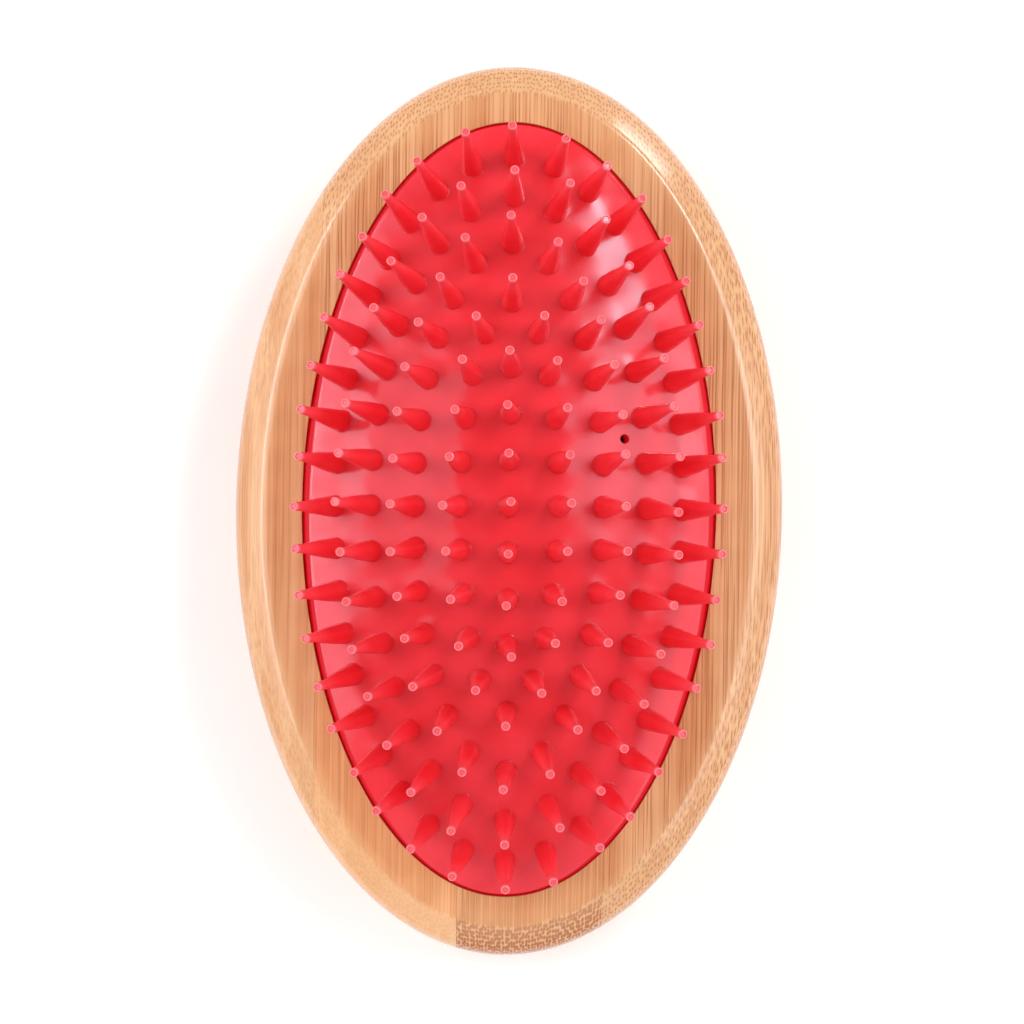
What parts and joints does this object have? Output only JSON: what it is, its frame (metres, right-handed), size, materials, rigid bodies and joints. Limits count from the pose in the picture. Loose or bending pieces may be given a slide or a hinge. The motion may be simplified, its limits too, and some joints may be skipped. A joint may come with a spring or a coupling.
{
  "type": "scalp massager brush",
  "caption": "Oval palm brush for massaging the scalp: laminated bamboo handle with a domed air cushion of red silicone that carries rings of leaning tapered pins.",
  "frame": {"origin": "centre of the flat back face", "axes": "+Y along the long axis of the oval, +X across it, +Z out of the back through the cushion, the way the pins point"},
  "size_m": [0.0786, 0.128, 0.04],
  "materials": {
    "bamboo_light": "satin lacquer over fine straight grain",
    "bamboo_mid": "satin lacquer over fine straight grain",
    "bamboo_dark": "satin lacquer over fine straight grain",
    "silicone_red": "glossy soft silicone"
  },
  "bodies": {
    "handle": {"front_left_edge": "bamboo_mid", "front_left_top": "bamboo_light", "front_left_bottom": "bamboo_light", "front_centre_top": "bamboo_mid", "front_centre_bottom": "bamboo_dark", "front_right": "bamboo_light", "front_right_edge": "bamboo_mid", "core_strip_1": "bamboo_light", "core_strip_2": "bamboo_dark", "core_strip_3": "bamboo_mid", "core_strip_4": "bamboo_light", "back_strip_1": "bamboo_mid", "back_strip_2": "bamboo_light", "back_strip_3": "bamboo_mid", "back_strip_4": "bamboo_light", "back_strip_5": "bamboo_dark", "cushion_rim": "silicone_red"},
    "cushion_centre": {"cushion_centre": "silicone_red"},
    "cushion_ring_4": {"cushion_ring_4": "silicone_red"},
    "cushion_ring_3": {"cushion_ring_3": "silicone_red"},
    "cushion_ring_2": {"cushion_ring_2": "silicone_red"},
    "cushion_ring_1": {"cushion_ring_1": "silicone_red"}
  },
  "joints": [
    {"name": "cushion_press", "type": "slide", "parent": "handle", "child": "cushion_centre", "axis": [0, 0, -1], "range_m": [0, 0.006], "stiffness_N_per_m": 1500},
    {"name": "ring_4_press", "type": "slide", "parent": "handle", "child": "cushion_ring_4", "axis": [0, 0, -1], "range_m": [0, 0.00552]},
    {"name": "ring_3_press", "type": "slide", "parent": "handle", "child": "cushion_ring_3", "axis": [0, 0, -1], "range_m": [0, 0.00444]},
    {"name": "ring_2_press", "type": "slide", "parent": "handle", "child": "cushion_ring_2", "axis": [0, 0, -1], "range_m": [0, 0.00306]},
    {"name": "ring_1_press", "type": "slide", "parent": "handle", "child": "cushion_ring_1", "axis": [0, 0, -1], "range_m": [0, 0.00162]}
  ],
  "couplings": [
    {"joint": "ring_4_press", "follows": "cushion_press", "ratio": 0.92},
    {"joint": "ring_3_press", "follows": "cushion_press", "ratio": 0.74},
    {"joint": "ring_2_press", "follows": "cushion_press", "ratio": 0.51},
    {"joint": "ring_1_press", "follows": "cushion_press", "ratio": 0.27}
  ]
}
